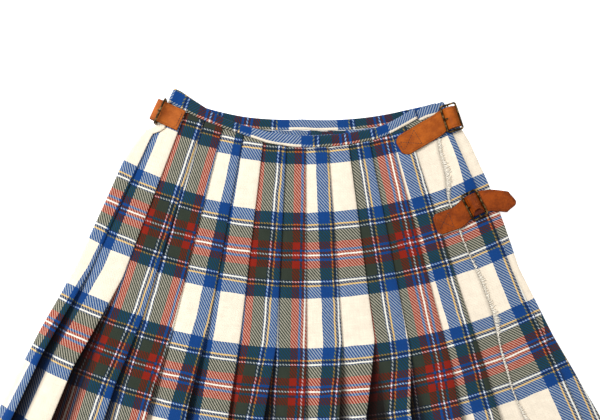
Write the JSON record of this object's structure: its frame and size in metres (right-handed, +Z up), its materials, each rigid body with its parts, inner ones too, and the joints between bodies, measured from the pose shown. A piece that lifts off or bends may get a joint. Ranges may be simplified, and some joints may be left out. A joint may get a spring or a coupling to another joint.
{
  "type": "checked skirt",
  "caption": "Knife-pleated wrap skirt in checked wool twill, laid flat, with narrow waistband, fringed apron edge and tan leather straps with brass buckles",
  "frame": {"origin": "on the table below the middle of the skirt's bounding box", "axes": "+X across the front towards the buckled side, +Y towards the waist, +Z up off the table"},
  "size_m": [0.8614, 0.679, 0.0298],
  "materials": {
    "checked_wool": "brushed wool twill, woven check",
    "cream_wool": "loose wool threads",
    "tan_leather": "smooth tan leather, slightly worn",
    "antique_brass": "dark antique brass with bright worn edges"
  },
  "bodies": {
    "root": {"front_panel": "checked_wool", "under_panel": "checked_wool", "back_panel": "checked_wool", "front_waistband": "checked_wool", "under_waistband": "checked_wool", "back_waistband": "checked_wool", "apron_fringe": "cream_wool", "upper_strap": "tan_leather", "lower_strap": "tan_leather", "left_strap": "tan_leather", "upper_buckle": "antique_brass", "lower_buckle": "antique_brass", "left_buckle": "antique_brass", "upper_prong": "antique_brass", "lower_prong": "antique_brass", "left_prong": "antique_brass"}
  },
  "joints": []
}
